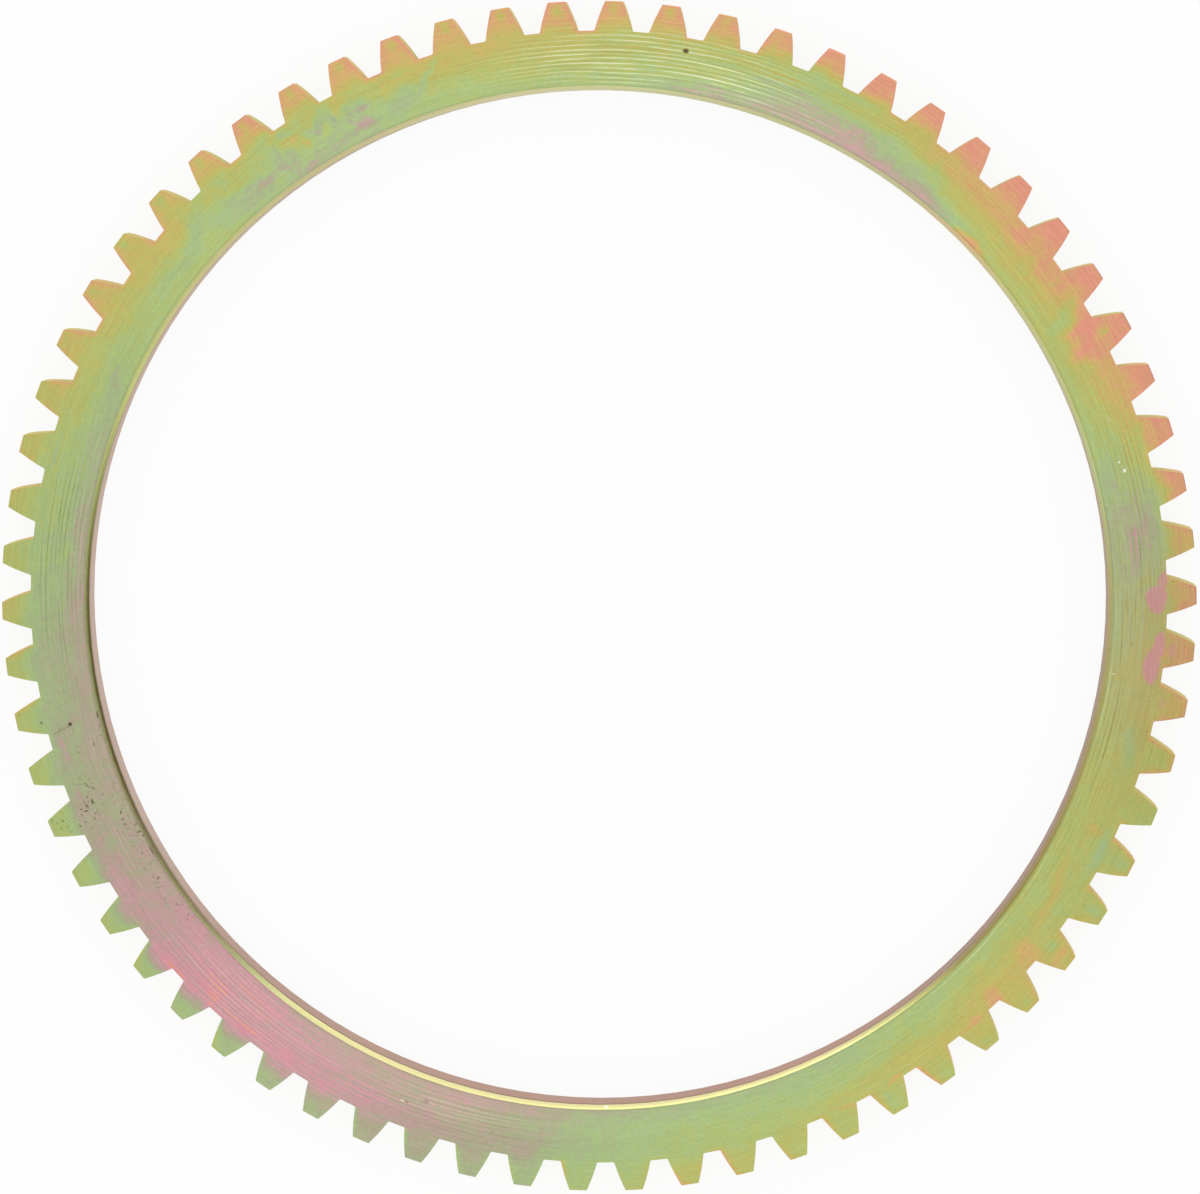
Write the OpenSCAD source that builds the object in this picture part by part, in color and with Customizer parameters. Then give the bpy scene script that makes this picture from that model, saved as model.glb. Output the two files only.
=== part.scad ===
// Starter ring gear for a flywheel or a clutch shell: one flat steel ring, turned all over,
// with straight stub teeth cut round its outside and a plain bore that shrinks onto its seat.
// The ring lies on its rear face, the one that looks at the starter. The origin is on the bore
// axis in that face, and +Z points out of the front face, which goes against the seat's
// shoulder. One tooth is centred on +X. All sizes are in millimetres.

/* [Teeth] */
// number of teeth round the ring
teeth = 66; // [48:1:96]
// pitch diameter for each tooth, here an eight pitch tooth
tooth_module = 3.175; // [2.6:0.005:3.8]
// slope of the flank where it crosses the pitch circle, in degrees
pressure_angle = 20; // [16:0.5:22]
// height of the tooth above the pitch circle
addendum = 2.54; // [1.8:0.01:2.7]
// depth of the tooth space below the pitch circle
dedendum = 2.71; // [1.8:0.01:3.2]
// thickness of the tooth along the pitch circle
tooth_thick = 5.04; // [4.6:0.01:5.4]
// radius left in the corner between a flank and the root
root_fillet = 0.3; // [0.1:0.05:0.6]
// bevel turned on the tips at the rear face, where the starter pinion slides in
lead_bevel = 1; // [0.2:0.1:2]
// edge broken on the tips at the front face
tip_break = 0.15; // [0.05:0.05:0.5]

/* [Rim] */
// wall of solid rim from the root circle in to the bore
rim_w = 10.47; // [6:0.01:24]
// thickness from the rear face to the front face
ring_t = 7.5; // [4:0.1:16]
// bevel turned at the front edge of the bore, which clears the corner of the seat
bore_chamfer = 0.76; // [0.3:0.02:1.2]
// smaller bevel turned at the rear edge of the bore
rear_chamfer = 0.4; // [0.1:0.05:1.2]

/* [Hidden] */
pitch_r = teeth * tooth_module / 2;
base_r = pitch_r * cos(pressure_angle);
tip_r = pitch_r + addendum;
root_r = pitch_r - dedendum;
bore_r = root_r - rim_w;
tooth_pitch = 360 / teeth;
// the cutters run this far past the surfaces that they cut
over = 1;
// chords in one flank and in one corner
flank_steps = 4;
corner_steps = 3;
$fn = 6 * teeth;

// angle in degrees whose arc at radius r has this length
function arc_ang(len, r) = len / r * 180 / PI;
// point at radius r and angle a
function polar(r, a) = [r * cos(a), r * sin(a)];
// slope of the involute at radius r
function slope_at(r) = acos(min(1, base_r / r));
// involute function, in degrees
function inv(a) = tan(a) * 180 / PI - a;
// half the angle that one tooth fills at radius r
function half_tooth(r) =
    arc_ang(tooth_thick / 2, pitch_r) + inv(pressure_angle) - inv(slope_at(r));
// half the angle that one tooth space fills at radius r
function half_space(r) = tooth_pitch / 2 - half_tooth(r);

// The corner arc touches the root circle and the flank. Its centre lies on a curve parallel to
// the flank, which is an involute of the same base circle, turned by the arc's radius.
corner_r = root_r + root_fillet;
corner_ang = half_space(corner_r) - arc_ang(root_fillet, base_r);
corner = polar(corner_r, corner_ang);
// length of the flank's normal, from the base circle to the point where the arc meets the flank
normal_len = sqrt(max(0, pow(corner_r, 2) - pow(base_r, 2))) - root_fillet;
flank_r = sqrt(pow(base_r, 2) + pow(normal_len, 2));
touch = polar(flank_r, half_space(flank_r)) - corner;
arc_from = corner_ang + 180;
arc_to = atan2(touch[1], touch[0]);

// one side of a tooth space, from the middle of its root out past the tooth tips
function corner_arc() = [for (i = [0 : corner_steps])
    corner + polar(root_fillet, arc_from + (arc_to - arc_from) * i / corner_steps)];
function flank() = [for (i = [1 : flank_steps])
    let (r = flank_r + (tip_r - flank_r) * i / flank_steps) polar(r, half_space(r))];
function space_side() = concat([polar(root_r, 0)], corner_arc(), flank(),
    [polar(tip_r + over, half_space(tip_r + over))]);
// the same side mirrored and run backwards, without the point that both sides share
function other_side(side) = [for (i = [len(side) - 1 : -1 : 1]) [side[i][0], -side[i][1]]];

// section of the turned blank, to one side of its axis
module blank_section() {
    polygon([
        [bore_r + rear_chamfer, 0],
        [tip_r - lead_bevel, 0],
        [tip_r, lead_bevel],
        [tip_r, ring_t - tip_break],
        [tip_r - tip_break, ring_t],
        [bore_r + bore_chamfer, ring_t],
        [bore_r, ring_t - bore_chamfer],
        [bore_r, rear_chamfer]
    ]);
}

// the metal that a cutter takes out between two teeth, centred on +X
module tooth_space() {
    translate([0, 0, -over])
        linear_extrude(height = ring_t + 2 * over)
            polygon(concat(space_side(), other_side(space_side())));
}

module ring_gear() {
    color([0.68, 0.72, 0.44])
    difference() {
        rotate_extrude() blank_section();
        for (k = [0 : teeth - 1])
            rotate([0, 0, (k + 0.5) * tooth_pitch]) tooth_space();
    }
}

ring_gear();
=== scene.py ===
import math
import bpy
from mathutils import Matrix, Vector


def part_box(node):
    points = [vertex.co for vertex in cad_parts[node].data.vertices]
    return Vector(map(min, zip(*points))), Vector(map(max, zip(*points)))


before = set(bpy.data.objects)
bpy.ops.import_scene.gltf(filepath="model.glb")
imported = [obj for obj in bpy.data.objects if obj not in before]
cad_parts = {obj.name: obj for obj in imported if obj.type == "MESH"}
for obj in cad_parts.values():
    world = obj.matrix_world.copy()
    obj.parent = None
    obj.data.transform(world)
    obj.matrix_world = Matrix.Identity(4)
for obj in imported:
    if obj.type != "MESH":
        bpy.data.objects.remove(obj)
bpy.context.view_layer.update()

NODE = "ring_gear"
MM = 0.001

# Sizes of the ring in millimetres, as the solids have them.
TEETH = 66
TIP_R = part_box(NODE)[1].x / MM
RING_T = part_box(NODE)[1].z / MM
ROOT_R = 102.065
BORE_R = 91.595
BORE_CHAMFER = 0.76
# half of the angle that a tooth fills at its root and at its tip, in degrees
TOOTH_HALF_ROOT = 1.859
TOOTH_HALF_TIP = 0.830
# length of one degree round the middle of the rim
ARC = math.radians(97.0)
# how many local shapes the shader works out side by side
BATCH = 8

# The camera, fitted to the corners of the teeth in the photograph. Lengths are in tip radii.
PHOTO_WIDTH = 1200
PIXELS_PER_TIP_R = 598.03
CAMERA_AWAY = 8.0
CAMERA_SLIDE = (-0.0071, -0.0104)
CAMERA_TILT = 5.724
CAMERA_TURN = -2.703
# how far the photographed ring is turned about its own axis, in degrees
RING_TURN = 0.736
SENSOR = 36.0

# Colours of the passivation film, thin to thick, as the eye sees them (0 to 255).
FILM_SCALE = 1.2
FILM = [
    (0.00, (224, 150, 127)),
    (0.10, (217, 163, 119)),
    (0.20, (206, 176, 107)),
    (0.30, (192, 183, 102)),
    (0.40, (182, 188, 109)),
    (0.50, (174, 191, 121)),
    (0.58, (169, 190, 131)),
    (0.66, (169, 182, 136)),
    (0.74, (175, 170, 141)),
    (0.82, (187, 164, 149)),
    (0.90, (198, 158, 156)),
    (0.98, (209, 154, 161)),
    (1.06, (216, 149, 162)),
    (1.16, (226, 153, 128)),
]
# Film thickness near the bore, in the middle of the rim, near the roots and at the tips. Angles
# run clockwise from the right-hand side of the photograph, in degrees.
INNER_FILM = [
    (0, 0.54), (8, 0.45), (18, 0.41), (34, 0.44), (48, 0.51), (64, 0.60), (80, 0.63), (90, 0.69),
    (97, 0.77), (105, 0.82), (120, 0.82), (131, 0.93), (138, 0.93), (145, 0.85), (157, 0.76),
    (176, 0.77), (190, 0.73), (200, 0.67), (208, 0.52), (224, 0.46), (233, 0.66), (241, 0.69),
    (248, 0.54), (272, 0.51), (281, 0.69), (300, 0.81), (310, 0.74), (318, 0.42), (330, 0.41),
    (343, 0.52), (352, 0.67),
]
MIDDLE_FILM = [
    (0, 0.50), (6, 0.40), (16, 0.37), (47, 0.41), (57, 0.49), (82, 0.55), (90, 0.61), (97, 0.71),
    (106, 0.77), (114, 0.84), (130, 0.98), (137, 0.98), (144, 0.86), (151, 0.77), (166, 0.72),
    (178, 0.68), (190, 0.56), (222, 0.45), (231, 0.68), (241, 0.60), (249, 0.53), (256, 0.39),
    (272, 0.43), (285, 0.54), (298, 0.70), (306, 0.62), (312, 0.37), (320, 0.28), (336, 0.32),
    (344, 0.50), (353, 0.75),
]
OUTER_FILM = [
    (0, 0.42), (6, 0.34), (16, 0.34), (34, 0.43), (40, 0.29), (48, 0.28), (57, 0.35), (72, 0.46),
    (86, 0.55), (98, 0.71), (112, 0.87), (128, 0.99), (136, 1.05), (144, 0.88), (152, 0.82),
    (161, 0.70), (176, 0.65), (200, 0.43), (221, 0.29), (232, 0.46), (240, 0.46), (249, 0.32),
    (257, 0.28), (274, 0.39), (296, 0.46), (304, 0.32), (313, 0.18), (328, 0.11), (337, 0.18),
    (344, 0.36), (353, 0.66),
]
TIP_FILM = [
    (0, 0.14), (7, 0.12), (16, 0.38), (27, 0.45), (37, 0.28), (48, 0.32), (59, 0.45), (70, 0.38),
    (82, 0.39), (92, 0.54), (102, 0.71), (114, 0.73), (126, 0.64), (140, 0.57), (157, 0.47),
    (170, 0.46), (180, 0.39), (191, 0.39), (202, 0.31), (212, 0.24), (223, 0.26), (234, 0.09),
    (245, 0.14), (267, 0.14), (280, 0.12), (290, 0.08), (300, 0.04), (321, 0.00), (333, 0.04),
    (345, 0.05), (354, 0.20),
]
# painted light and shade: how much lighter or darker the film is drawn round the ring, near the bore and
# near the roots
INNER_PAINTED_SHADING = [
    (0, 0.90), (12, 0.905), (22, 0.94), (44, 1.0), (66, 1.02), (96, 1.055), (120, 1.06),
    (134, 1.0), (146, 0.955), (170, 0.93), (192, 0.935), (206, 0.965), (226, 1.04), (240, 1.065),
    (250, 1.05), (266, 1.05), (281, 1.10), (300, 1.08), (320, 1.035), (344, 0.98), (353, 0.94),
]
OUTER_PAINTED_SHADING = [
    (0, 0.84), (14, 0.845), (24, 0.905), (38, 0.985), (62, 1.02), (84, 1.01), (96, 0.98),
    (110, 0.975), (121, 1.02), (140, 0.95), (152, 0.93), (186, 0.93), (206, 0.98), (224, 1.02),
    (252, 1.03), (272, 1.04), (290, 1.02), (332, 1.0), (345, 0.965), (353, 0.905),
]
# how much the film thins along the roots between the teeth
ROOT_THIN = [(0, 0.4), (20, 0.6), (88, 0.6), (100, 0.05), (154, 0.05), (164, 0.8), (300, 1.0), (345, 0.5)]
# how much the film thins along the clockwise and the anticlockwise edge of each tooth
EDGE_AHEAD = [(0, 1.0), (98, 1.0), (110, 0.65), (184, 0.65), (198, 1.0)]
EDGE_BEHIND = [(0, 1.0), (34, 1.0), (46, 0.25), (184, 0.25), (198, 1.0)]
# Local changes of the film. Each row is angle, radius, half length along the ring, half width
# across it, tilt in degrees, softness of its border, change.
POOLS = [
    (15.5, 99.4, 4.0, 1.1, 12, 0.9, 0.16),
    (26.6, 100.7, 3.4, 0.9, 0, 0.9, 0.18),
    (33.0, 97.0, 8.5, 0.8, 10, 0.8, -0.12),
    (25.0, 98.0, 1.0, 1.3, 0, 0.8, -0.12),
    (39.4, 99.9, 2.0, 2.2, 0, 0.5, -0.10),
    (44.9, 101.2, 1.4, 1.9, 0, 0.6, -0.14),
    (37.5, 105.0, 2.0, 0.8, 0, 0.5, -0.12),
    (37.4, 102.6, 0.9, 1.0, 0, 0.6, 0.18),
    (31.9, 104.2, 0.8, 1.0, 0, 0.8, 0.14),
    (48.0, 101.9, 1.8, 0.6, 0, 0.7, -0.14),
    (58.3, 102.0, 2.2, 0.5, 0, 0.7, -0.16),
    (59.9, 103.6, 0.7, 1.4, 0, 0.8, 0.12),
    (64.4, 101.8, 2.6, 0.4, 0, 0.7, -0.16),
    (97.0, 100.4, 2.6, 0.9, 0, 0.8, 0.08),
    (124.0, 99.7, 1.8, 1.0, 0, 0.8, 0.10),
    (129.0, 97.4, 1.6, 0.8, 20, 0.8, 0.10),
    (134.4, 99.4, 1.4, 1.6, 0, 0.8, 0.08),
    (129.2, 100.6, 3.4, 0.6, 0, 0.9, 0.08),
    (139.0, 101.2, 2.2, 1.0, 0, 0.8, 0.12),
    (142.5, 94.2, 3.0, 0.9, 0, 0.7, 0.08),
    (150.7, 100.5, 3.6, 1.8, 0, 0.5, 0.06),
    (159.3, 99.9, 1.4, 0.5, 0, 0.6, 0.14),
    (164.4, 99.9, 1.8, 0.6, 0, 0.6, 0.12),
    (195.6, 100.3, 2.8, 0.4, 0, 0.9, 0.16),
    (205.0, 94.6, 2.6, 0.6, 0, 0.8, 0.12),
    (218.0, 94.9, 4.0, 0.9, 0, 0.8, 0.08),
    (223.3, 98.0, 6.0, 1.5, 38, 0.7, 0.14),
    (228.0, 95.8, 5.5, 2.2, 0, 0.7, 0.05),
    (233.3, 96.0, 2.2, 0.8, 0, 0.8, 0.10),
    (237.8, 97.2, 3.6, 1.0, -28, 0.6, -0.18),
    (241.9, 98.4, 1.2, 2.6, 0, 0.8, 0.12),
    (236.8, 100.8, 1.2, 1.3, 0, 0.7, 0.12),
    (228.3, 101.0, 1.0, 1.2, 0, 0.8, 0.12),
    (244.8, 95.0, 2.1, 0.8, 0, 0.8, 0.16),
    (244.6, 97.6, 2.2, 0.5, 12, 0.8, 0.12),
    (249.3, 96.3, 3.6, 2.2, 20, 0.5, 0.12),
    (252.8, 99.2, 3.6, 0.7, 50, 0.5, 0.18),
    (301.0, 93.0, 13.0, 0.5, 0, 0.8, 0.06),
    (315.5, 92.4, 3.6, 1.1, 0, 0.5, -0.40),
    (296.5, 102.3, 7.5, 1.0, 0, 0.7, 0.12),
    (342.9, 102.5, 1.6, 0.9, 0, 0.7, -0.14),
    (319.0, 100.6, 1.9, 1.7, 0, 0.5, -0.08),
    (321.9, 98.6, 1.6, 2.4, 25, 0.5, 0.10),
    (328.5, 97.7, 3.6, 1.2, -52, 0.8, 0.22),
    (331.3, 98.8, 4.6, 2.2, -50, 0.3, -0.15),
    (333.0, 99.2, 1.4, 3.4, 0, 0.4, -0.10),
    (332.0, 103.0, 0.6, 0.8, 0, 0.8, 0.18),
    (350.9, 99.6, 1.8, 0.9, 0, 0.8, 0.10),
]
# where the film is mottled
MOTTLED = [
    (239.0, 97.0, 14.0, 5.4, 0, 0.5, 1.5), (352.0, 96.8, 12.0, 3.6, 0, 0.5, 0.5),
    (148.0, 97.0, 14.0, 5.0, 0, 0.6, 0.4), (304.0, 95.0, 12.0, 3.0, 0, 0.6, 0.5),
]
# rose patches under the teeth on the right, and a faint haze round them, in the same terms
ROSE_POOLS = [
    (6.5, 100.0, 3.2, 1.50, 0, 0.2, 1.0), (4.3, 101.0, 2.4, 1.1, -15, 0.2, 1.0),
    (359.6, 100.2, 2.4, 1.9, 0, 0.2, 1.0), (358.0, 101.2, 2.2, 0.8, -20, 0.3, 0.9),
    (4.7, 103.3, 1.1, 0.7, 0, 0.7, 0.5), (10.0, 102.9, 0.8, 0.6, 0, 0.8, 0.45),
    (2.0, 97.5, 22.0, 6.5, 0, 0.6, 0.18),
]
# where the tips have a greener middle
TIP_SPOTS = [(247, 105.8, 66.0, 3.0, 0, 0.2, 1.0), (40, 105.8, 26.0, 3.0, 0, 0.4, 0.7)]
# where the turned lines show: as bands of film, as painted highlights along the grooves, as painted shade
# along the grooves
FILM_LINES = [
    (126, 97.5, 24, 5.0, 0, 0.5, 0.75), (188, 96.5, 20, 4.0, 0, 0.6, 0.5),
    (353, 97.0, 20, 4.0, 0, 0.6, 1.1), (286, 96.5, 24, 4.5, 0, 0.6, 0.9),
]
PAINTED_LINE_HIGHLIGHTS = [
    (276, 97.4, 24, 4.6, 0, 0.5, 1.0), (287, 95.4, 14, 2.6, 0, 0.5, 0.6),
    (107, 96.3, 14, 2.4, 0, 0.6, 0.30), (132, 98.0, 14, 4.0, 0, 0.6, 0.3),
    (190, 93.6, 16, 1.0, 0, 0.8, 0.25), (25, 93.0, 44, 0.7, 0, 0.5, 0.4),
]
PAINTED_LINE_SHADE = [
    (184, 97.0, 18, 3.6, 0, 0.5, 0.8), (352, 97.6, 16, 3.4, 0, 0.5, 0.7),
    (13, 94.8, 26, 1.6, 0, 0.6, 0.6), (104, 98.0, 14, 3.6, 0, 0.6, 0.4),
    (276, 96.0, 24, 4.0, 0, 0.5, 0.4),
]
# where corrosion has pitted the plating
PITTED = [
    (157.6, 103.4, 2.6, 3.6, 0, 0.4, 1.0), (158.6, 98.8, 4.4, 2.8, 0, 0.6, 0.8),
    (152.0, 94.2, 15.0, 1.4, 0, 0.6, 0.8), (166.8, 99.4, 0.8, 2.6, 0, 0.4, 1.0),
    (143.0, 93.4, 6.0, 0.8, 0, 0.6, 0.5), (151.5, 92.6, 5.0, 0.4, 0, 0.5, 1.0),
    (165.6, 92.6, 4.4, 0.4, 0, 0.5, 1.0),
]
# Marks on the front face: angle, radius, half length, half width, tilt, softness, strength.
DARK_MARKS = [
    (279.5, 99.75, 0.52, 0.42, 0, 0.30, 0.85), (167.0, 97.75, 0.36, 0.34, 0, 0.4, 0.85),
    (158.4, 98.30, 0.50, 0.16, -10, 0.5, 0.85), (167.8, 102.85, 0.20, 0.18, 0, 0.4, 0.7),
    (156.2, 94.35, 0.28, 0.18, 0, 0.5, 0.7), (164.3, 94.55, 0.40, 0.12, 0, 0.5, 0.6),
    (148.3, 94.70, 0.16, 0.12, 0, 0.5, 0.6), (163.9, 97.70, 0.14, 0.14, 0, 0.5, 0.6),
    (150.9, 92.50, 1.00, 0.16, 0, 0.6, 0.5), (167.4, 92.50, 0.60, 0.20, 0, 0.6, 0.6),
    (166.6, 99.60, 0.10, 1.70, 14, 0.6, 0.4), (110.9, 97.50, 0.24, 0.16, 30, 0.5, 0.45),
    (109.0, 96.20, 0.50, 0.36, 0, 0.7, 0.25), (4.4, 96.10, 0.20, 0.18, 0, 0.5, 0.30),
    (101.4, 98.60, 0.18, 0.14, 0, 0.6, 0.35),
]
PALE_MARKS = [
    (345.9, 97.30, 0.30, 0.22, 20, 0.4, 0.9), (344.9, 96.70, 0.16, 0.18, 0, 0.4, 0.8),
    (345.4, 97.05, 0.12, 0.10, 0, 0.5, 0.6), (340.2, 97.30, 0.50, 0.10, 0, 0.7, 0.3),
    (111.4, 97.55, 0.36, 0.12, -15, 0.5, 0.7), (89.1, 91.95, 0.26, 0.20, 0, 0.4, 0.9),
    (7.8, 93.40, 0.14, 0.14, 0, 0.5, 0.6), (47.0, 99.70, 0.16, 0.12, 0, 0.5, 0.4),
]

ROSE = (217, 151, 156)
# the inner and outer halves of the bevel at the front of the bore, and the bore's wall, by angle
# the bevel's colours hold painted highlights and painted shade: bright at the bottom of the ring, dark at
# its left and lower right
BEVEL_IN_PAINTED_LIGHT = [
    (0, (180, 168, 128)), (30, (166, 150, 106)), (44, (163, 152, 107)), (54, (196, 190, 138)),
    (62, (211, 202, 148)), (110, (213, 205, 152)), (128, (226, 222, 156)), (133, (194, 198, 138)),
    (140, (180, 164, 126)), (152, (172, 162, 118)), (160, (139, 126, 79)), (186, (133, 130, 74)),
    (195, (159, 167, 101)), (205, (205, 208, 132)), (215, (206, 204, 142)), (240, (202, 198, 146)),
    (262, (216, 212, 166)), (280, (203, 203, 162)), (306, (200, 200, 154)), (314, (216, 190, 150)),
    (322, (206, 204, 150)), (345, (190, 190, 148)),
]
BEVEL_OUT_PAINTED_LIGHT = [
    (0, (182, 169, 108)), (18, (168, 153, 89)), (36, (154, 140, 73)), (45, (166, 151, 84)),
    (54, (233, 231, 147)), (62, (250, 244, 168)), (90, (230, 228, 152)), (120, (221, 211, 151)),
    (130, (213, 218, 153)), (136, (186, 192, 135)), (146, (204, 205, 141)), (152, (195, 188, 140)),
    (160, (214, 211, 150)), (176, (207, 210, 140)), (190, (178, 184, 116)), (205, (196, 200, 123)),
    (222, (203, 195, 134)), (244, (206, 192, 146)), (262, (213, 206, 158)), (275, (216, 217, 158)),
    (290, (203, 203, 142)), (308, (200, 198, 148)), (315, (222, 192, 148)), (322, (208, 204, 140)),
    (345, (196, 204, 140)),
]
WALL = [
    (0, (186, 172, 158)), (10, (182, 168, 156)), (45, (184, 164, 156)), (60, (198, 170, 158)),
    (130, (202, 178, 166)), (152, (212, 198, 188)), (200, (214, 202, 190)), (320, (200, 188, 170)),
]
# the wall is browner just under the bevel
WALL_TOP = (132, 118, 84)
GRAZING_WALL = (222, 196, 184)
GRAZING_FLANK = (244, 236, 212)
# painted light: the film colour on the flanks and tips of the teeth is drawn lighter by this factor
FLANK_PAINTED_LIGHT = 1.25
# how much darker the face is in a hair line along the bevel
LIP_DARK = 0.14
# distance between turned grooves, in millimetres
FEED = 0.8
# colours of the painted highlight and the painted shade along the turned grooves
LINE_HIGHLIGHT_PAINT = (230, 232, 190)
LINE_SHADE_PAINT = (120, 116, 76)
MARK_DARK = (80, 60, 33)
MARK_PALE = (246, 244, 230)
FLOOR = (0.9, 0.9, 0.9, 1.0)
# share of plain white in what the camera sees of the floor. The rest is lit, and takes shadow.
FLOOR_WHITE = 0.9
FLAG_GREY = 0.28


def linear(rgb):
    """A colour as the eye sees it, 0 to 255, as the linear values that the shader takes."""
    out = []
    for value in rgb:
        v = value / 255
        out.append(v / 12.92 if v <= 0.04045 else ((v + 0.055) / 1.055) ** 2.4)
    return (*out, 1.0)


class Net:
    """Short ways to add shader nodes. An input may be a number, a colour or another node's output."""

    def __init__(self, tree):
        self.tree = tree
        tree.nodes.clear()

    def add(self, kind, inputs=(), **settings):
        node = self.tree.nodes.new(kind)
        for name, value in settings.items():
            setattr(node, name, value)
        for name, value in dict(inputs).items():
            self.put(node.inputs[name], value)
        return node

    def put(self, socket, value):
        if isinstance(value, bpy.types.NodeSocket):
            self.tree.links.new(value, socket)
        else:
            socket.default_value = value

    def math(self, operation, *values):
        node = self.tree.nodes.new("ShaderNodeMath")
        node.operation = operation
        for i, value in enumerate(values):
            self.put(node.inputs[i], value)
        return node.outputs[0]

    def times(self, a, b):
        return self.math("MULTIPLY", a, b)

    def total(self, *values):
        out = values[0]
        for value in values[1:]:
            out = self.math("ADD", out, value)
        return out

    def smooth(self, value, low, high, out_low=0.0, out_high=1.0):
        """value from low to high becomes out_low to out_high, easing in and out, held at the ends."""
        node = self.add("ShaderNodeMapRange", interpolation_type="SMOOTHSTEP")
        for i, v in enumerate((value, low, high, out_low, out_high)):
            self.put(node.inputs[i], v)
        return node.outputs[0]

    def mix(self, share, a, b):
        node = self.add("ShaderNodeMix", data_type="RGBA", clamp_factor=True)
        self.put(node.inputs[0], share)
        self.put(node.inputs[6], a)
        self.put(node.inputs[7], b)
        return node.outputs[2]

    def noise_node(self, vector, scale, detail=2.0, roughness=0.5, distortion=0.0):
        return self.add("ShaderNodeTexNoise", {
            "Vector": vector, "Scale": scale, "Detail": detail, "Roughness": roughness,
            "Distortion": distortion})

    def noise(self, vector, scale, detail=2.0, roughness=0.5, distortion=0.0):
        """Noise of mean 0, about -1 to 1."""
        node = self.noise_node(vector, scale, detail, roughness, distortion)
        return self.math("MULTIPLY_ADD", node.outputs["Fac"], 4.0, -2.0)

    def vector(self, x, y, z):
        return self.add("ShaderNodeCombineXYZ", {"X": x, "Y": y, "Z": z}).outputs[0]

    def ramp(self, value, stops):
        """A ramp through (place, number or colour) stops, with places from 0 to 1."""
        node = self.add("ShaderNodeValToRGB", {"Fac": value})
        elements = node.color_ramp.elements
        for i, (place, colour) in enumerate(stops):
            if i < 2:
                element = elements[i]
                element.position = place
            else:
                element = elements.new(place)
            element.color = colour if isinstance(colour, tuple) else (colour,) * 3 + (1.0,)
        return node.outputs[0]


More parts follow.
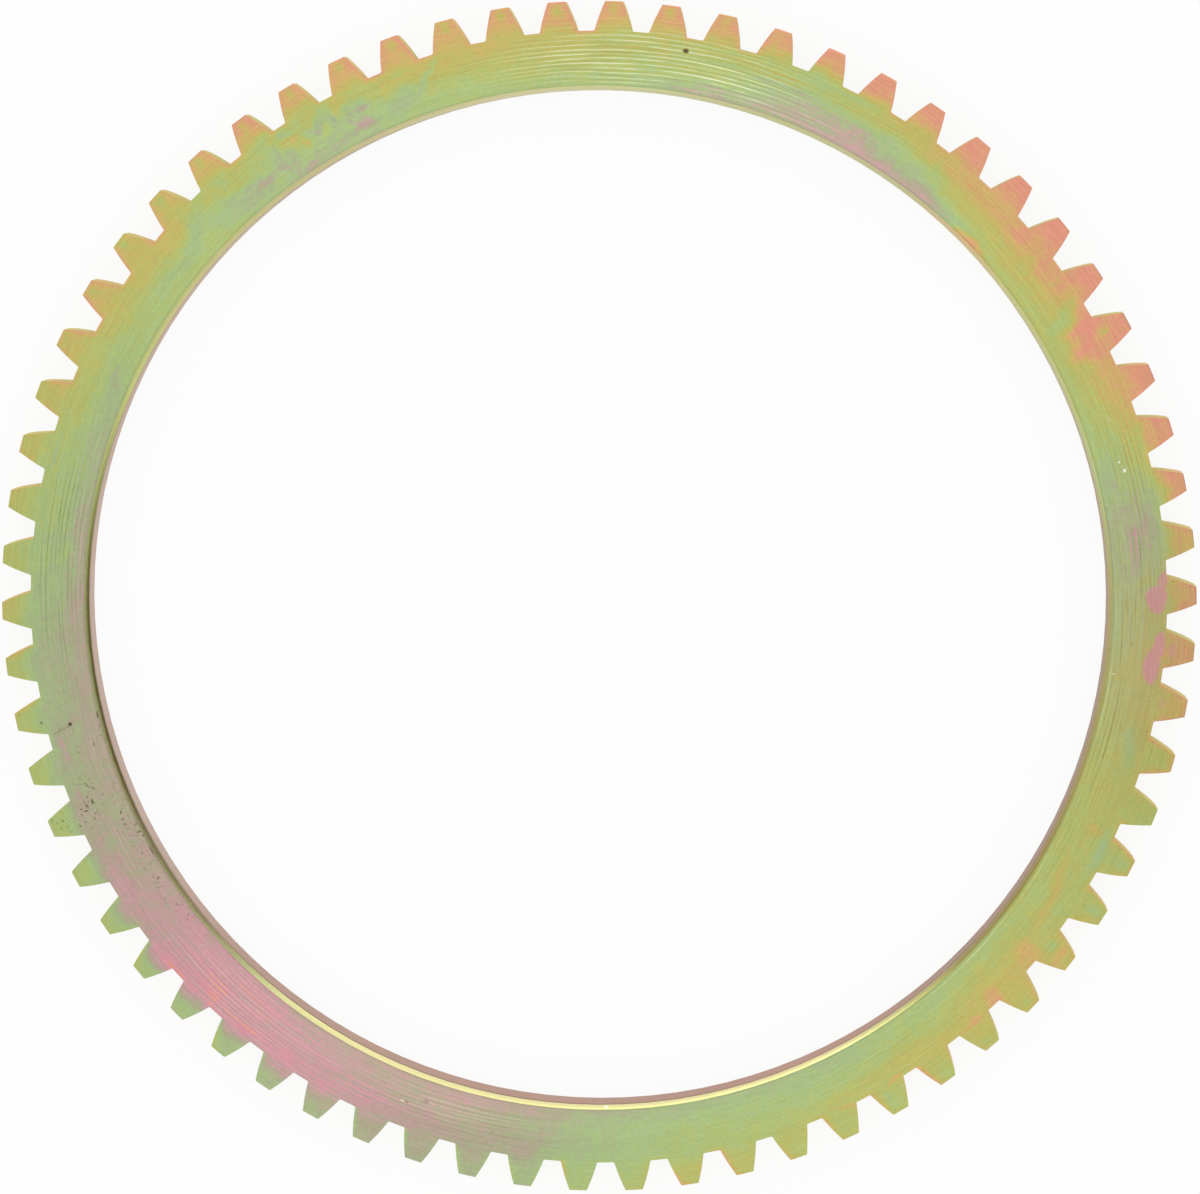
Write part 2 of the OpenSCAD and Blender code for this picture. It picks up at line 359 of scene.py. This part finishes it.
class RingCoordinates:
    """Where a point lies on the ring: angle clockwise as photographed, radius, height, tooth."""

    def __init__(self, net):
        self.net = net
        self.last = None
        place = net.add("ShaderNodeTexCoord")
        self.point = place.outputs["Object"]
        xyz = net.add("ShaderNodeSeparateXYZ", {"Vector": self.point})
        x, y = xyz.outputs["X"], xyz.outputs["Y"]
        self.height = net.math("DIVIDE", xyz.outputs["Z"], MM)
        flat = net.math("SQRT", net.math("MULTIPLY_ADD", x, x, net.times(y, y)))
        self.radius = net.math("DIVIDE", flat, MM)
        turn = net.times(net.math("ARCTAN2", y, x), -180 / math.pi)
        self.turn = net.math("WRAP", net.math("SUBTRACT", turn, RING_TURN), 360.0, 0.0)
        self.cos = net.math("DIVIDE", x, flat)
        self.sin = net.math("DIVIDE", y, flat)
        normal = net.add("ShaderNodeSeparateXYZ", {"Vector": place.outputs["Normal"]})
        self.up = net.math("ABSOLUTE", normal.outputs["Z"])
        self.front = normal.outputs["Z"]
        # angle clockwise past the centre of the nearest tooth, in degrees, and its size
        half_pitch = 180 / TEETH
        self.past_tooth = net.math("WRAP", turn, half_pitch, -half_pitch)
        self.off_tooth = net.math("ABSOLUTE", self.past_tooth)
        # the rim rolled out flat, in millimetres: cut open at 0 degrees, and cut open at 180
        across = net.math("WRAP", self.turn, 180.0, -180.0)
        self.rolled = (net.vector(net.times(self.turn, ARC), self.radius, 0.0),
                       net.vector(net.times(across, ARC), self.radius, 0.0))

    def bent(self, *layers):
        """Both rolled out rims, pushed about by noise layers of (scale, detail, millimetres)."""
        net = self.net
        push = None
        for scale, detail, far in layers:
            colour = net.noise_node(self.point, scale, detail).outputs["Color"]
            centred = net.add("ShaderNodeVectorMath", operation="SUBTRACT")
            net.put(centred.inputs[0], colour)
            net.put(centred.inputs[1], (0.5, 0.5, 0.5))
            sized = net.add("ShaderNodeVectorMath", operation="MULTIPLY_ADD")
            net.put(sized.inputs[0], centred.outputs[0])
            net.put(sized.inputs[1], (2 * far, 2 * far, 0.0))
            net.put(sized.inputs[2], push if push else (0.0, 0.0, 0.0))
            push = sized.outputs[0]
        out = []
        for rolled in self.rolled:
            moved = net.add("ShaderNodeVectorMath", operation="ADD")
            net.put(moved.inputs[0], rolled)
            net.put(moved.inputs[1], push)
            out.append(moved.outputs[0])
        return out

    def around(self, lengthwise, across):
        """A point in a space without a seam, where features are long round the ring."""
        net = self.net
        return net.vector(net.times(self.cos, lengthwise), net.times(self.sin, lengthwise),
                          net.times(self.radius, across))

    def pool(self, rolled, row):
        """The row's change inside its ellipse, 0 outside, with a soft border."""
        net = self.net
        angle, r, long, wide, tilt, soft, change = row
        behind = 90 < angle < 270
        x = angle if behind else (angle + 180) % 360 - 180
        local = net.add("ShaderNodeMapping", {
            "Vector": rolled[0] if behind else rolled[1], "Location": (x * ARC, r, 0.0),
            "Rotation": (0.0, 0.0, math.radians(tilt)), "Scale": (long, wide, 1.0)},
            vector_type="TEXTURE")
        far = net.add("ShaderNodeVectorMath", {"Vector": local.outputs[0]}, operation="LENGTH")
        return net.smooth(far.outputs["Value"], 1 - soft, 1 + soft, change, 0.0)

    def pools(self, rolled, rows, join="ADD"):
        """All rows joined, by default added up. The renderer can hold only 255 numbers at once, so
        each batch of rows waits for the batch before it."""
        net = self.net
        out = None
        for i, row in enumerate(rows):
            if i % BATCH == 0:
                ready = [self.after(vector) for vector in rolled]
            one = self.pool(ready, row)
            out = net.math(join, out, one) if out else one
            self.last = out
        return out

    def after(self, vector):
        """The same vector, which can't be had before the last result."""
        if self.last is None:
            return vector
        net = self.net
        node = net.add("ShaderNodeVectorMath", operation="MULTIPLY_ADD")
        net.put(node.inputs[0], self.last)
        net.put(node.inputs[1], (0.0, 0.0, 0.0001))
        net.put(node.inputs[2], vector)
        return node.outputs[0]

    def marks(self, rolled, rows):
        """The strongest of the rows at each point."""
        return self.pools(rolled, rows, "MAXIMUM")

    def drift(self, turn, stops):
        """A number that drifts round the ring through (degrees, number) stops and closes."""
        closed = [(a / 360, v / FILM_SCALE) for a, v in stops + [(360, stops[0][1])]]
        place = self.net.math("DIVIDE", turn, 360.0)
        return self.net.times(self.net.ramp(place, closed), FILM_SCALE)

    def tint(self, stops):
        """A colour that drifts round the ring through (degrees, colour) stops and closes."""
        closed = [(a / 360, linear(c)) for a, c in stops + [(360, stops[0][1])]]
        return self.net.ramp(self.net.math("DIVIDE", self.turn, 360.0), closed)

    def edge_distance(self):
        """Distance in millimetres from the nearest edge of a tooth or root, on either face."""
        net = self.net
        rise = net.math("DIVIDE", net.math("SUBTRACT", self.radius, ROOT_R), TIP_R - ROOT_R)
        half = net.math("MULTIPLY_ADD", rise, TOOTH_HALF_TIP - TOOTH_HALF_ROOT, TOOTH_HALF_ROOT)
        aside = net.math("SUBTRACT", half, self.off_tooth)
        flank = net.times(net.times(aside, self.radius), math.pi / 180)
        tip = net.math("SUBTRACT", TIP_R, self.radius)
        on_tooth = net.math("MINIMUM", flank, tip)
        # under a tooth the nearest edge is a root corner, and between teeth it's the root
        inside = net.math("SUBTRACT", ROOT_R, self.radius)
        beside = net.math("MAXIMUM", flank, 0.0)
        corner = net.math("SQRT", net.math("MULTIPLY_ADD", inside, inside,
                                           net.times(beside, beside)))
        above = net.math("GREATER_THAN", self.radius, ROOT_R)
        return net.math("ADD", net.times(above, on_tooth),
                        net.times(net.math("SUBTRACT", 1.0, above), corner))


def film_thickness(ring, lines, groove):
    """The film's thickness over the faces: its slow drift, the pools, turned lines and grain."""
    net = ring.net
    rolled = ring.bent((115.0, 3.0, 2.4), (520.0, 2.0, 0.5))
    bent = net.add("ShaderNodeSeparateXYZ", {"Vector": rolled[0]})
    turn = net.math("DIVIDE", bent.outputs["X"], ARC)
    radius = bent.outputs["Y"]
    film = ring.drift(turn, INNER_FILM)
    for stops, low, high in ((MIDDLE_FILM, 93.3, 96.6), (OUTER_FILM, 96.4, 100.0),
                             (TIP_FILM, 100.8, 105.4)):
        beyond = net.math("SUBTRACT", ring.drift(turn, stops), film)
        film = net.math("MULTIPLY_ADD", beyond, net.smooth(radius, low, high), film)
    film = net.math("ADD", film, ring.pools(rolled, POOLS))
    shown = net.math("ADD", ring.pools(ring.rolled, FILM_LINES), 0.4)
    strength = net.smooth(net.noise(ring.around(9.0, 0.9), 1.0, 2.0), -0.7, 0.9, 0.0, 0.75)
    both = net.math("MULTIPLY_ADD", groove, strength, lines)
    film = net.math("MULTIPLY_ADD", net.times(both, shown), 0.12, film)
    strong = net.math("MULTIPLY_ADD", ring.pools(ring.rolled, MOTTLED), 0.12, 0.06)
    film = net.math("MULTIPLY_ADD", net.noise(ring.point, 260.0, 3.0, 0.6, 0.8), strong, film)
    return net.math("MULTIPLY_ADD", net.noise(ring.point, 1100.0, 2.0), 0.03, film)


def thin_edges(ring, film):
    """The film thins out along the edges of the teeth, and thickens in the middle of some tips."""
    net = ring.net
    away = ring.edge_distance()
    near = net.math("EXPONENT", net.math("DIVIDE", away, -0.50))
    patchy = net.smooth(net.noise(ring.point, 95.0, 2.0), -0.5, 0.7, 0.0, 0.85)
    on_tooth = net.math("GREATER_THAN", ring.radius, ROOT_R)
    patchy = net.times(patchy, net.math("MAXIMUM", on_tooth, ring.drift(ring.turn, ROOT_THIN)))
    ahead = net.smooth(ring.past_tooth, -0.4, 0.4)
    behind = ring.drift(ring.turn, EDGE_BEHIND)
    more = net.math("SUBTRACT", ring.drift(ring.turn, EDGE_AHEAD), behind)
    patchy = net.times(patchy, net.math("MULTIPLY_ADD", more, ahead, behind))
    kept = net.math("MULTIPLY_ADD", net.times(near, patchy), -1.0, 1.0)
    film = net.times(film, kept)
    across = net.math("DIVIDE", ring.off_tooth, 0.40)
    along = net.math("DIVIDE", net.math("SUBTRACT", ring.radius, TIP_R - 1.4), 1.1)
    far = net.math("MULTIPLY_ADD", across, across, net.times(along, along))
    centre = net.times(net.math("EXPONENT", net.times(far, -1.0)),
                       ring.pools(ring.rolled, TIP_SPOTS))
    return net.math("MULTIPLY_ADD", centre, 0.17, film)


def bevel_film_and_painted_light(ring):
    """The turned bevel at the front of the bore, with its inner and outer halves: its film colour with
    painted highlights and painted shade by angle.
    """
    net = ring.net
    wavy = net.math("MULTIPLY_ADD", net.noise(ring.point, 420.0, 2.0), 0.06, ring.radius)
    return net.mix(net.smooth(wavy, BORE_R + 0.2, BORE_R + 0.58), ring.tint(BEVEL_IN_PAINTED_LIGHT),
                   ring.tint(BEVEL_OUT_PAINTED_LIGHT))


def plated_steel():
    """Yellow passivated zinc over turned steel."""
    material = bpy.data.materials.new("plated_steel")
    material.use_nodes = True
    net = Net(material.node_tree)
    ring = RingCoordinates(net)
    pits = net.times(net.smooth(net.noise(ring.point, 1800.0, 1.0), 0.55, 0.85),
                     ring.pools(ring.rolled, PITTED))

    # turned lines that follow the ring: broad, fine, and the few that stand out
    lines = net.noise(ring.around(6.0, 2.3), 1.0, 3.0, 0.6)
    fine = net.noise(ring.around(15.0, 6.5), 1.0, 2.0)
    bold = net.noise(ring.around(8.0, 2.6), 1.0, 4.0, 0.64)
    wander = net.noise(ring.around(3.0, 0.35), 1.0)
    turns = net.total(net.math("DIVIDE", ring.radius, FEED), net.math("DIVIDE", ring.turn, 360.0),
                      net.times(wander, 0.45))
    groove = net.math("SINE", net.times(turns, math.tau))
    dash = net.math("MULTIPLY_ADD", bold, 0.9, groove)

    film = thin_edges(ring, film_thickness(ring, lines, groove))
    film_stops = [(t / FILM_SCALE, linear(c)) for t, c in FILM]
    face = net.ramp(net.math("DIVIDE", film, FILM_SCALE), film_stops)
    rose = ring.marks(ring.bent((300.0, 2.0, 0.7)), ROSE_POOLS)
    face = net.mix(net.times(rose, 0.85), face, linear(ROSE))
    # real turned grooves, with painted highlights along them in some places and painted shade in others
    line_highlight = net.times(net.smooth(dash, 0.50, 1.15), ring.pools(ring.rolled, PAINTED_LINE_HIGHLIGHTS))
    face = net.mix(net.times(line_highlight, 0.68), face, linear(LINE_HIGHLIGHT_PAINT))
    line_shade = net.times(net.smooth(dash, -0.65, -1.25), ring.pools(ring.rolled, PAINTED_LINE_SHADE))
    face = net.mix(net.times(line_shade, 0.6), face, linear(LINE_SHADE_PAINT))

    # each point a little lighter or darker
    speckle = net.noise(ring.point, 1500.0, 2.0)
    value = net.total(net.times(speckle, 0.045), net.times(fine, 0.075), net.times(lines, 0.04),
                      net.times(groove, 0.012))
    # painted light and shade round the ring, near the bore and near the roots
    shade = ring.drift(ring.turn, INNER_PAINTED_SHADING)
    other = net.math("SUBTRACT", ring.drift(ring.turn, OUTER_PAINTED_SHADING), shade)
    shade = net.math("MULTIPLY_ADD", other, net.smooth(ring.radius, 95.5, 99.5), shade)
    value = net.math("ADD", value, shade)
    lip = net.math("ABSOLUTE", net.math("SUBTRACT", ring.radius, BORE_R + BORE_CHAMFER + 0.16))
    value = net.math("MULTIPLY_ADD", net.smooth(lip, 0.06, 0.22, 1.0, 0.0), -LIP_DARK, value)
    shaded = net.add("ShaderNodeVectorMath", {"Vector": face, "Scale": value},
                     operation="SCALE")
    face = shaded.outputs["Vector"]

    on_bevel = net.times(net.math("LESS_THAN", ring.radius, BORE_R + BORE_CHAMFER + 0.05),
                         net.times(net.smooth(ring.front, 0.3, 0.45),
                                   net.smooth(ring.front, 0.9, 0.98, 1.0, 0.0)))
    # the bevel's film colour with its painted highlights and painted shade
    colour = net.mix(on_bevel, face, bevel_film_and_painted_light(ring))

    # walls: rose brown inside the bore, salmon to olive on the tips and flanks
    inside = net.math("LESS_THAN", ring.radius, BORE_R + 0.6)
    outer_film = net.math("MULTIPLY_ADD", net.noise(ring.point, 160.0, 3.0), 0.14, 0.26)
    outer = net.add("ShaderNodeVectorMath", {
        "Vector": net.ramp(net.math("DIVIDE", outer_film, FILM_SCALE), film_stops),
        "Scale": FLANK_PAINTED_LIGHT}, operation="SCALE").outputs["Vector"]
    wall = net.mix(net.smooth(ring.height, RING_T - 2.6, RING_T - 0.9, 0.0, 0.55),
                   ring.tint(WALL), linear(WALL_TOP))
    wall_shade = net.add("ShaderNodeVectorMath", {
        "Vector": wall,
        "Scale": net.math("MULTIPLY_ADD", net.noise(ring.point, 70.0, 3.0), 0.06, 1.0)},
        operation="SCALE")
    side = net.mix(inside, outer, wall_shade.outputs["Vector"])
    on_side = net.smooth(ring.up, 0.3, 0.5, 1.0, 0.0)
    colour = net.mix(on_side, colour, side)
    grazing = net.mix(inside, linear(GRAZING_FLANK), linear(GRAZING_WALL))
    grazing = net.mix(on_side, (1.0, 1.0, 1.0, 1.0), grazing)

    # marks on the front face
    front = net.math("GREATER_THAN", ring.front, 0.5)
    rolled = ring.bent((900.0, 1.0, 0.16))
    dark = net.times(net.math("MAXIMUM", ring.marks(rolled, DARK_MARKS),
                              net.times(pits, 0.6)), front)
    pale = net.times(ring.marks(rolled, PALE_MARKS), front)
    colour = net.mix(dark, colour, linear(MARK_DARK))
    colour = net.mix(pale, colour, linear(MARK_PALE))

    # surface: low turned grooves, a fine grain, the pits and nicks sunk in
    relief = net.total(net.times(lines, 0.30), net.times(dash, 0.2), net.times(fine, 0.25),
                       net.times(speckle, 0.25), net.times(pits, -3.0))
    bump = net.add("ShaderNodeBump", {"Strength": 0.35, "Distance": 0.00003, "Height": relief})
    rough = net.math("MULTIPLY_ADD", fine, 0.03, 0.30)
    rough = net.math("MULTIPLY_ADD", dark, 0.35, rough)
    rough = net.math("MULTIPLY_ADD", on_side, 0.15, rough)
    coat = net.math("MULTIPLY_ADD", on_side, -0.12, 0.12)

    shader = net.add("ShaderNodeBsdfPrincipled", {
        "Base Color": colour, "Metallic": 0.92, "Roughness": rough, "Specular Tint": grazing,
        "Coat Weight": coat, "Coat Roughness": 0.2, "Normal": bump.outputs["Normal"]})
    net.add("ShaderNodeOutputMaterial", {"Surface": shader.outputs["BSDF"]})
    return material


def dress_ring():
    """The turned and toothed ring keeps its solid. Its edges are broken by a hair."""
    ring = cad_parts[NODE]
    material = plated_steel()
    for slot in ring.material_slots:
        slot.material = material
    bevel = ring.modifiers.new("broken_edges", "BEVEL")
    bevel.width = 0.10 * MM
    bevel.segments = 2
    bevel.limit_method = "ANGLE"
    bevel.angle_limit = math.radians(35)
    bevel.harden_normals = True


def camera():
    """The photograph's view: above the ring, a little up and to the right of its axis."""
    tilt = Matrix.Rotation(math.radians(CAMERA_TILT), 3, "X")
    turn = Matrix.Rotation(math.radians(CAMERA_TURN), 3, "Y")
    spin = Matrix.Rotation(math.radians(RING_TURN), 3, "Z")
    to_camera = turn @ tilt @ spin
    slide = Vector((CAMERA_SLIDE[0], CAMERA_SLIDE[1], -CAMERA_AWAY)) * TIP_R * MM
    place = to_camera.transposed() @ -slide + Vector((0, 0, RING_T * MM))
    data = bpy.data.cameras.new("camera")
    data.sensor_width = SENSOR
    data.lens = PIXELS_PER_TIP_R * CAMERA_AWAY * SENSOR / PHOTO_WIDTH
    data.clip_start, data.clip_end = 0.01, 20
    view = bpy.data.objects.new("camera", data)
    view.matrix_world = Matrix.Translation(place) @ to_camera.transposed().to_4x4()
    bpy.context.scene.collection.objects.link(view)
    bpy.context.scene.camera = view


def floor():
    """A pale floor under the ring. The camera and reflections see it white, with the shadow."""
    mesh = bpy.data.meshes.new("floor")
    s = 6.0
    mesh.from_pydata([(-s, -s, 0), (s, -s, 0), (s, s, 0), (-s, s, 0)], [], [(0, 1, 2, 3)])
    plane = bpy.data.objects.new("floor", mesh)
    bpy.context.scene.collection.objects.link(plane)
    plane.location.z = -0.0001
    material = bpy.data.materials.new("floor")
    material.use_nodes = True
    net = Net(material.node_tree)
    path = net.add("ShaderNodeLightPath")
    seen = net.math("MAXIMUM", path.outputs["Is Camera Ray"], path.outputs["Is Glossy Ray"])
    seen = net.math("MAXIMUM", seen, path.outputs["Is Transmission Ray"])
    pale = net.add("ShaderNodeBsdfDiffuse", {"Color": FLOOR})
    white = net.add("ShaderNodeEmission", {"Strength": 1.0})
    mixed = net.add("ShaderNodeMixShader", {"Fac": net.times(seen, FLOOR_WHITE)})
    net.put(mixed.inputs[1], pale.outputs[0])
    net.put(mixed.inputs[2], white.outputs[0])
    net.add("ShaderNodeOutputMaterial", {"Surface": mixed.outputs[0]})
    mesh.materials.append(material)


def softbox(name, azimuth, away, height, width, tall, radiance):
    """A plain rectangular lamp at that clockwise photograph angle, facing the ring."""
    data = bpy.data.lights.new(name, "AREA")
    data.shape = "RECTANGLE"
    data.size, data.size_y = width, tall
    data.energy = radiance * math.pi * width * tall
    lamp = bpy.data.objects.new(name, data)
    a = math.radians(-azimuth - RING_TURN)
    lamp.location = (away * math.cos(a), away * math.sin(a), height)
    toward = -Vector(lamp.location)
    lamp.rotation_mode = "QUATERNION"
    lamp.rotation_quaternion = toward.to_track_quat("-Z", "Z")
    bpy.context.scene.collection.objects.link(lamp)


def flag(azimuth, away, width, tall):
    """A grey studio flag: it only shows in the metal, as the dark side of the bevel."""
    mesh = bpy.data.meshes.new("flag")
    w = width / 2
    mesh.from_pydata([(0, -w, 0), (0, w, 0), (0, w, tall), (0, -w, tall)], [], [(0, 1, 2, 3)])
    card = bpy.data.objects.new("flag", mesh)
    a = math.radians(-azimuth - RING_TURN)
    card.location = (away * math.cos(a), away * math.sin(a), 0)
    card.rotation_euler.z = a
    bpy.context.scene.collection.objects.link(card)
    material = bpy.data.materials.new("flag")
    material.use_nodes = True
    net = Net(material.node_tree)
    grey = net.add("ShaderNodeBsdfDiffuse", {"Color": (*[FLAG_GREY] * 3, 1)})
    net.add("ShaderNodeOutputMaterial", {"Surface": grey.outputs[0]})
    mesh.materials.append(material)
    card.visible_camera = False
    card.visible_shadow = False
    card.visible_diffuse = False


def light():
    """A white studio all round, a softbox beyond the top of the picture, a flag at its right."""
    world = bpy.data.worlds.new("studio")
    bpy.context.scene.world = world
    world.use_nodes = True
    net = Net(world.node_tree)
    sky = net.add("ShaderNodeBackground", {"Color": (1, 1, 1, 1), "Strength": 1.0})
    net.add("ShaderNodeOutputWorld", {"Surface": sky.outputs[0]})
    softbox("top_softbox", 271, 0.9, 0.22, 1.5, 0.44, 0.45)
    flag(347, 0.9, 0.9, 0.55)


dress_ring()
camera()
floor()
light()
bpy.context.scene.view_settings.view_transform = "Standard"
